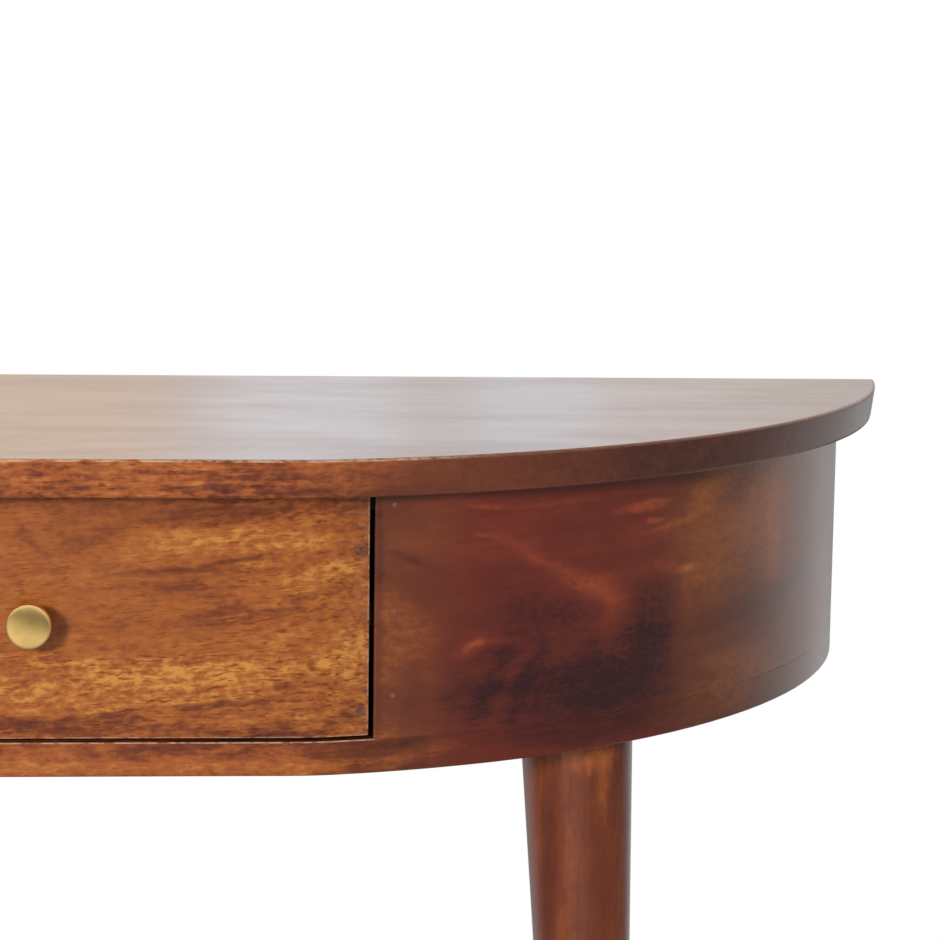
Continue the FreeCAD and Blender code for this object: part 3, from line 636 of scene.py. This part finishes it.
def satin_brass(metal):
    """Turned brass, with its marks and its yellower rim about the knob's own middle."""
    material, g, shader = new_material("satin_brass")
    place = g.vector("SUBTRACT", g.place(), tuple((knob_low + knob_high) / 2))
    marks = g.group("brushed_metal", {"Vector": place, "Fineness": 2600.0})
    colour = g.blend(g.ease(marks["Smears"], 0.35, 0.65), metal.brass, shaded(metal.brass, 0.9))
    radius = g.length(g.vector("MULTIPLY", place, (1, 0, 1)))
    rim = g.ease(radius, KNOB_RIM_START * MM, KNOB_RIM_END * MM)
    satin = g.math("MULTIPLY_ADD", marks["Marks"], 0.05, metal.knob_roughness)
    g.feed(shader, {
        "Base Color": g.blend(rim, colour, KNOB_RIM_COLOUR),
        "Roughness": g.math("MULTIPLY_ADD", rim, 0.20, satin),
        "Specular Tint": KNOB_EDGE_TINT,
        "Normal": g.relief(0.08, 0.05 * MM, marks["Marks"]),
        "Metallic": 1.0,
    })
    return material


def joined_normals(name):
    """Gives corners that meet, and look nearly the same way, one shading normal."""
    mesh = nodes[name].data
    meeting = {}
    for corner, loop in enumerate(mesh.loops):
        place = tuple(round(value, 5) for value in mesh.vertices[loop.vertex_index].co)
        normal = tuple(round(value, 4) for value in mesh.corner_normals[corner].vector)
        meeting.setdefault(place, []).append((corner, normal))
    normals = [None] * len(mesh.loops)
    alike_from = math.cos(math.radians(30))
    for corners in meeting.values():
        seen = [Vector(normal) for normal in sorted({normal for _, normal in corners})]
        for corner, normal in corners:
            alike = [other for other in seen if other.dot(Vector(normal)) > alike_from]
            normals[corner] = sum(alike, Vector()).normalized()
    mesh.normals_split_custom_set(normals)


def dress(material, *names):
    """Gives CAD nodes a material in place of the imported one."""
    for name in names:
        mesh = nodes[name].data
        mesh.materials.clear()
        mesh.materials.append(material)


class CONSOLE_OT_groups(bpy.types.Operator):
    """Build the shader groups that the finishes share"""
    bl_idname = "console.groups"
    bl_label = "Shared effects"

    def execute(self, context):
        build_wood_grain(context.scene.console_wood.streak_width)
        build_frayed_place()
        build_figure_patch()
        build_stain_colour()
        build_rubbed_edge()
        build_brushed_metal()
        build_studio_room()
        return {"FINISHED"}


class CONSOLE_OT_top(bpy.types.Operator):
    """Finish the table top"""
    bl_idname = "console.top"
    bl_label = "Table top"

    def execute(self, context):
        def tone(g, place, normal):
            x, _, z = g.parts(place)
            _, _, up = g.parts(normal)
            aside = g.math("ABSOLUTE", x)
            edge = g.ease(up, 0.9, 0.5)
            # The edge darkens in three steps from the drawer to the ends
            rim = g.plus(g.ease(aside, 0.05, 0.13, 0.63, 0.485),
                         g.ease(aside, 0.13, 0.22, 0.0, -0.155),
                         g.ease(aside, 0.22, 0.33, 0.0, -0.16))
            # The upper face is dark round one drifting line across it
            drift = g.noise(g.vector("MULTIPLY", place, (3, 11, 3)), 3.0, 0.6)
            off = g.math("MULTIPLY_ADD", drift, 0.16, g.math("SUBTRACT", x, 0.30))
            face = g.ease(g.math("ABSOLUTE", off), 0.02, 0.20, 0.50, 0.70)
            value = g.plus(g.times(edge, rim), g.times(g.rest(edge), face))
            value = g.plus(value, g.ease(aside, 0.32, 0.42, 0.0, 0.03))
            # Near the drawer the edge is darker at its lower arris, a painted shade where it
            # turns downward, and paler at its upper one, where it is worn
            # lower is painted shade on the downward-facing arris
            lower = g.times(g.ease(z, 0.7385, 0.7325, 0.0, -0.14), g.ease(aside, 0.25, 0.15))
            upper = g.times(g.ease(z, 0.741, 0.749, 0.0, 0.10), g.ease(aside, 0.22, 0.15))
            value = g.math("MULTIPLY_ADD", upper, edge, g.plus(value, lower))
            calm = g.rest(g.times(edge, g.ease(aside, 0.10, 0.20, 0.0, 0.8)))
            strength = g.times(calm, g.ease(up, 0.5, 0.9, 1.0, 0.3))
            wear = g.ease(aside, 0.18, 0.25, 1.0, 0.08)
            red = g.plus(g.ease(aside, 0.15, 0.22, 0.10, 0.0),
                         g.ease(aside, 0.32, 0.42, 0.07, 0.0))
            coat = g.times(edge, g.ease(aside, 0.13, 0.20, 0.0, 0.55),
                           g.ease(aside, 0.38, 0.47, 1.0, 0.1))
            return value, strength, wear, red, coat

        dress(stained_wood("stained_top", "X", tone, (0.24, 0.26, 0.22, 0.12, 0.24, 0.8),
                           ior=1.29, bump=0.06, worn=0.75), "table_top")
        return {"FINISHED"}


class CONSOLE_OT_case(bpy.types.Operator):
    """Finish the curved side panels and the bottom board"""
    bl_idname = "console.case"
    bl_label = "Case"

    def execute(self, context):
        def panel_tone(g, place, normal):
            vector, _ = grain_vector(g, "arc")
            along, _, _ = g.parts(vector)
            red = g.times(g.ease(along, 0.105, 0.165, 0.1, 1.0), g.ease(along, 0.310, 0.255))
            coat = g.ease(along, 0.30, 0.36, 0.0, 0.06)
            return 0.37, 1.0, 0.0, red, coat

        def band_tone(g, place, normal):
            x, _, z = g.parts(place)
            _, _, up = g.parts(normal)
            aside = g.math("ABSOLUTE", x)
            # The upper arris is paler under the panels: painted light that lifts the shade in the
            # seam there, so that it hardly shows
            arris = g.times(g.ease(up, 0.3, 0.6), g.ease(up, 0.97, 0.9))
            painted_seam_light = g.times(arris, g.ease(aside, 0.172, 0.180, 0.0, 0.17))
            value = g.plus(g.ease(aside, 0.12, 0.18, 0.49, 0.305), painted_seam_light)
            upward = g.times(g.ease(z, 0.5865, 0.5965, 0.05, -0.02), g.ease(aside, 0.17, 0.13))
            value = g.plus(value, upward)
            strength = g.ease(aside, 0.13, 0.22, 0.9, 0.3)
            wear = g.ease(aside, 0.180, 0.170)
            red = g.times(g.ease(aside, 0.183, 0.240, 0.0, 0.9), g.ease(aside, 0.359, 0.317))
            red = g.plus(red, g.ease(aside, 0.17, 0.12, 0.0, 0.15))
            coat = g.ease(aside, 0.15, 0.20, 0.0, 0.35)
            return value, strength, wear, red, coat

        turned = [(along + PANEL_TURN_SHIFT, 2 * PANEL_TURN_HEIGHT - up, *oval)
                  for along, up, *oval in PANEL_FIGURE]
        for side, figure in (("right", PANEL_FIGURE), ("left", turned)):
            dress(stained_wood("stained_panel_" + side, "arc", panel_tone,
                               (0.07, 0.03, 0.04, 0.13, 0.03, 0.06), figure, ior=1.48,
                               fraying=0.6, waviness=0.03, curl=1.0, bump=0.0),
                  "side_panel_" + side)
        # The panels' figure goes on below them, beside the drawer
        under_panel = [(along + BAND_START / MM, up, half_long, half_tall, *rest)
                       for along, up, half_long, half_tall, *rest in PANEL_FIGURE
                       if up - 1.6 * half_tall < PANEL_LOW and along > PANEL_START]
        dress(stained_wood("stained_bottom", "band", band_tone,
                           (0.18, 0.14, 0.22, 0.14, 0.14, 0.5), BAND_FIGURE + under_panel,
                           ior=1.29, offset=(-BAND_START, 0, 0), fraying=0.5, bump=0.06,
                           worn=0.7), "bottom_board")
        return {"FINISHED"}


class CONSOLE_OT_drawer(bpy.types.Operator):
    """Finish the drawer: its front, pegs, box and bottom"""
    bl_idname = "console.drawer"
    bl_label = "Drawer"

    def execute(self, context):
        def tone(g, place, normal):
            x, _, z = g.parts(place)
            # The front is darker along its top: a painted shadow of the table top's overhang
            value = g.ease(z, 0.716, 0.725, 0.585, 0.50)
            # The grain is strongest low down and at the sides
            low = g.ease(z, 0.655, 0.640)
            aside = g.ease(g.math("ABSOLUTE", x), 0.06, 0.12, 0.0, 0.6)
            strength = g.math("MULTIPLY_ADD", g.math("MAXIMUM", low, aside), 0.45, 0.55)
            coat = g.times(g.ease(z, 0.635, 0.70, 0.0, 0.24), g.ease(x, 0.11, 0.03, 0.2, 1.0))
            return value, strength, 1.0, 0.0, coat

        dress(stained_wood("stained_drawer_front", "X", tone,
                           (0.14, 0.18, 0.20, 0.12, 0.22, 0.9), DRAWER_FIGURE, ior=1.27,
                           slope=4, waviness=0.012, curl=0.45, facing=(0, -1, 0)),
              "drawer_front")
        dress(inner_wood("drawer_box_wood", "Y"), "drawer_side_left", "drawer_side_right")
        dress(inner_wood("drawer_back_wood", "X", (0.2, 0, 0.1)), "drawer_back")
        low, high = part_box("drawer_bottom")
        dress(layered_wood("drawer_bottom_ply", high[2] - low[2], low[2]), "drawer_bottom")
        dress(speckled("peg_end_grain", (420, 60, 420), (0.095, 0.028, 0.014),
                       (0.190, 0.062, 0.026), 0.35, 0.15, ends=(0.30, 0.70)), "drawer_pegs")
        return {"FINISHED"}


class CONSOLE_OT_legs(bpy.types.Operator):
    """Finish the legs and their glides"""
    bl_idname = "console.legs"
    bl_label = "Legs"

    def execute(self, context):
        dress(stained_wood("stained_leg", "Z", 0.372, (0.09, 0.04, 0.05, 0.10, 0.03, 0.1),
                           LEG_FIGURE, ior=1.40, waviness=0.014, curl=0.6, bump=0.06, worn=0.0,
                           redness=0.27), "leg_left", "leg_right")
        for name in ("leg_left", "leg_right"):
            joined_normals(name)
        dress(speckled("glide_plastic", (900, 900, 900), (0.012, 0.010, 0.009),
                       (0.030, 0.026, 0.023), 0.45, 0.2), "foot_glide_left", "foot_glide_right")
        return {"FINISHED"}


class CONSOLE_OT_inside(bpy.types.Operator):
    """Finish the pieces inside the case"""
    bl_idname = "console.inside"
    bl_label = "Inside of the case"

    def execute(self, context):
        # The front rail is made nearly black: painted shade in the gaps beside and under the
        # drawer
        dress(inner_wood("front_rail_painted_shade", "X", (0.4, 0, 0.2), 0.12), "front_rail")
        dress(inner_wood("inner_wood_long", "X"), "back_panel", "rear_rail",
              "glue_blocks_left", "glue_blocks_right", "leg_block_left", "leg_block_right")
        dress(inner_wood("inner_wood_deep", "Y", (0.1, 0.2, 0)), "partition_left",
              "partition_right", "side_cleat_left", "side_cleat_right", "runner_left",
              "runner_right")
        return {"FINISHED"}


def rounded(centre_radius, centre_out, size, start, end, steps=8):
    """Points of a rounded corner of the knob's outline, angles in degrees from the radius."""
    angles = [math.radians(start + (end - start) * i / steps) for i in range(steps + 1)]
    return [(centre_radius + size * math.cos(a), centre_out + size * math.sin(a))
            for a in angles]


def knob_outline(radius, reach):
    """The knob's half section from its bore to the middle of its face: radius and way out."""
    fillet, neck, back, face = (KNOB_LOWER_FILLET, KNOB_UPPER_FILLET, KNOB_BACK_CORNER,
                                KNOB_FACE_CORNER)
    outline = [(0, KNOB_BORE_DEPTH), (KNOB_BORE, KNOB_BORE_DEPTH), (KNOB_BORE, 0),
               (KNOB_FOOT - KNOB_FOOT_EDGE, 0), (KNOB_FOOT, KNOB_FOOT_EDGE),
               (KNOB_FOOT, KNOB_FOOT_HEIGHT)]
    outline += rounded(KNOB_STEM + fillet, KNOB_FOOT_HEIGHT + fillet, fillet, -90, -180)
    outline += rounded(KNOB_STEM + neck, KNOB_DISC_BACK - neck, neck, 180, 90)
    outline += rounded(radius - back, reach - KNOB_DISC_THICK + back, back, -90, 0)
    shoulder = reach - KNOB_DOME * KNOB_DOME_AT_RIM - face
    outline += rounded(radius - face, shoulder, face, 0, KNOB_FACE_CORNER_TURN, 12)
    rim = outline[-1][0]
    ball = (radius ** 2 + KNOB_DOME ** 2) / (2 * KNOB_DOME)
    for i in range(1, KNOB_FACE_RINGS + 1):
        across = rim * (1 - i / KNOB_FACE_RINGS)
        outline.append((across, reach - ball + math.sqrt(ball ** 2 - across ** 2)))
    return outline


def turned_knob(material):
    """The knob, turned from its outline: foot, stem and a domed disc, bored for its bolt."""
    rear = knob_high[1]
    middle_x, middle_z = (knob_low[0] + knob_high[0]) / 2, (knob_low[2] + knob_high[2]) / 2
    turns = [2 * math.pi * i / KNOB_SIDES for i in range(KNOB_SIDES)]
    mesh = bmesh.new()
    rings = []
    for across, out in knob_outline((knob_high[0] - knob_low[0]) / 2 / MM,
                                    (knob_high[1] - knob_low[1]) / MM):
        if across < 1e-6:
            rings.append([mesh.verts.new((middle_x, rear - out * MM, middle_z))])
        else:
            rings.append([mesh.verts.new((middle_x + across * MM * math.cos(a), rear - out * MM,
                                          middle_z + across * MM * math.sin(a))) for a in turns])
    for first, second in zip(rings, rings[1:]):
        for i in range(KNOB_SIDES):
            j = (i + 1) % KNOB_SIDES
            if len(first) == 1:
                mesh.faces.new((first[0], second[i], second[j]))
            elif len(second) == 1:
                mesh.faces.new((first[i], second[0], first[j]))
            else:
                mesh.faces.new((first[i], second[i], second[j], first[j]))
    bmesh.ops.recalc_face_normals(mesh, faces=mesh.faces)
    data = bpy.data.meshes.new("turned_knob")
    mesh.to_mesh(data)
    mesh.free()
    data.shade_smooth()
    data.set_sharp_from_angle(angle=math.radians(50))
    data.materials.append(material)
    knob = bpy.data.objects.new("turned_knob", data)
    bpy.context.scene.collection.objects.link(knob)
    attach(knob, "drawer")
    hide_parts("knob")


class CONSOLE_OT_metal(bpy.types.Operator):
    """Finish the knob, the inserts, the screws, nails and bolts, and the filling"""
    bl_idname = "console.metal"
    bl_label = "Knob and fixings"

    def execute(self, context):
        metal = context.scene.console_metal
        brass = satin_brass(metal)
        dress(brass, "threaded_insert_left", "threaded_insert_right")
        turned_knob(brass)
        steel = speckled("zinc_steel", (400, 400, 400), metal.steel, shaded(metal.steel, 0.7),
                         0.25, 0.25, detail=3.0, metallic=1.0)
        dress(steel, "top_screws", "bottom_screws", "rear_screws", "runner_screws",
              "leg_block_screws", "panel_nails_left", "panel_nails_right", "drawer_back_nails",
              "drawer_bottom_screws", "hanger_bolt_left", "hanger_bolt_right", "knob_bolt",
              "knob_washer")
        filling = speckled("wood_filling", (1500, 1500, 1500), (0.125, 0.046, 0.026),
                           (0.235, 0.108, 0.067), 0.55, 0.2, detail=3.0)
        dress(filling, "nail_putty_left", "nail_putty_right")
        return {"FINISHED"}


def aimed_camera(lens):
    """The camera at the viewing place, turned by its yaw, pitch and roll."""
    data = bpy.data.cameras.new("camera")
    data.lens = lens
    data.sensor_width = 36
    data.clip_start = 0.05
    data.clip_end = 100
    camera = bpy.data.objects.new("camera", data)
    bpy.context.scene.collection.objects.link(camera)
    ahead = Vector((math.sin(CAMERA_YAW) * math.cos(CAMERA_PITCH),
                    math.cos(CAMERA_YAW) * math.cos(CAMERA_PITCH), -math.sin(CAMERA_PITCH)))
    level = Vector((math.cos(CAMERA_YAW), -math.sin(CAMERA_YAW), 0))
    down = ahead.cross(level)
    right = math.cos(CAMERA_ROLL) * level - math.sin(CAMERA_ROLL) * down
    up = -(math.sin(CAMERA_ROLL) * level + math.cos(CAMERA_ROLL) * down)
    matrix = Matrix((right, up, -ahead)).transposed().to_4x4()
    matrix.translation = CAMERA_PLACE
    camera.matrix_world = matrix
    bpy.context.scene.camera = camera


def soft_light(name, place, aim, size, power):
    """A round lamp that gloss doesn't mirror."""
    data = bpy.data.lights.new(name, "AREA")
    data.shape = "DISK"
    data.size = size
    data.energy = power
    light = bpy.data.objects.new(name, data)
    bpy.context.scene.collection.objects.link(light)
    light.location = place
    light.rotation_mode = "QUATERNION"
    light.rotation_quaternion = (Vector(aim) - Vector(place)).to_track_quat("-Z", "Y")
    light.visible_glossy = False


def ray_masks(g):
    """Masks of the rays that come from the camera, and of those that see the mirrored room."""
    path = g.tree.nodes.new("ShaderNodeLightPath").outputs
    mirrored = g.math("MAXIMUM", path["Is Glossy Ray"], path["Is Transmission Ray"])
    return path["Is Camera Ray"], mirrored


class CONSOLE_OT_stage(bpy.types.Operator):
    """Set up the floor, the light and the camera"""
    bl_idname = "console.stage"
    bl_label = "Stage"

    def execute(self, context):
        stage = context.scene.console_stage
        aimed_camera(stage.lens)
        soft_light("key_light", KEY_PLACE, KEY_AIM, KEY_SIZE, stage.key_power)
        self.floor()
        self.world(stage.sky)
        context.scene.view_settings.view_transform = "Standard"
        return {"FINISHED"}

    def floor(self):
        """A pale floor that keeps the table's shadow and goes over into white."""
        half = FLOOR_HALF
        mesh = bpy.data.meshes.new("floor")
        mesh.from_pydata([(-half, -half, 0), (half, -half, 0), (half, half, 0),
                          (-half, half, 0)], [], [(0, 1, 2, 3)])
        floor = bpy.data.objects.new("floor", mesh)
        bpy.context.scene.collection.objects.link(floor)
        material, g, shader = new_material("pale_floor")
        g.feed(shader, {"Base Color": (0.88, 0.88, 0.87), "Roughness": 0.9})
        place = g.place()
        away = g.vector("NORMALIZE", g.vector("SUBTRACT", place, ROOM_MIDDLE))
        room = g.group("studio_room", {"Vector": away})["Color"]
        camera, mirrored = ray_masks(g)
        glow = g.add("ShaderNodeEmission", {"Color": g.blend(mirrored, (1, 1, 1), room)})
        white = g.times(g.math("MAXIMUM", camera, mirrored),
                        g.ease(g.length(place), 0.5, 1.5, 0.72, 1.0))
        surface = g.add("ShaderNodeMixShader", {0: white, 1: shader.outputs[0], 2: glow})
        g.feed(g.tree.nodes["Material Output"], {"Surface": surface})
        mesh.materials.append(material)

    def world(self, sky):
        """White to the camera, the studio room to gloss, and even light for the rest."""
        world = bpy.data.worlds.new("studio")
        bpy.context.scene.world = world
        world.use_nodes = True
        g = Graph(world.node_tree)
        direction = g.add("ShaderNodeTexCoord", {}, "Generated")
        room = g.group("studio_room", {"Vector": direction})["Color"]
        camera, mirrored = ray_masks(g)
        seen = g.blend(camera, g.blend(mirrored, (sky, sky, sky), room), (1, 1, 1))
        g.feed(world.node_tree.nodes["Background"], {"Color": seen})


class CONSOLE_PT_table(bpy.types.Panel):
    bl_idname = "CONSOLE_PT_table"
    bl_label = "Console table"
    bl_space_type = "VIEW_3D"
    bl_region_type = "UI"
    bl_category = "Console table"

    def draw(self, context):
        for name in ("console_wood", "console_metal", "console_stage"):
            box = self.layout.box()
            group = getattr(context.scene, name)
            for key in group.bl_rna.properties.keys():
                if key not in ("rna_type", "name"):
                    box.prop(group, key)
        for operator in OPERATORS:
            self.layout.operator(operator.bl_idname)


OPERATORS = (
    CONSOLE_OT_groups, CONSOLE_OT_top, CONSOLE_OT_case, CONSOLE_OT_drawer, CONSOLE_OT_legs,
    CONSOLE_OT_inside, CONSOLE_OT_metal, CONSOLE_OT_stage,
)
CLASSES = (WoodSettings, MetalSettings, StageSettings) + OPERATORS + (CONSOLE_PT_table,)


def register():
    for cls in CLASSES:
        bpy.utils.register_class(cls)
    bpy.types.Scene.console_wood = PointerProperty(type=WoodSettings)
    bpy.types.Scene.console_metal = PointerProperty(type=MetalSettings)
    bpy.types.Scene.console_stage = PointerProperty(type=StageSettings)


def unregister():
    del bpy.types.Scene.console_stage
    del bpy.types.Scene.console_metal
    del bpy.types.Scene.console_wood
    for cls in reversed(CLASSES):
        bpy.utils.unregister_class(cls)


def main():
    register()
    bpy.ops.console.groups()
    bpy.ops.console.top()
    bpy.ops.console.case()
    bpy.ops.console.drawer()
    bpy.ops.console.legs()
    bpy.ops.console.inside()
    bpy.ops.console.metal()
    bpy.ops.console.stage()


if __name__ == "__main__":
    main()
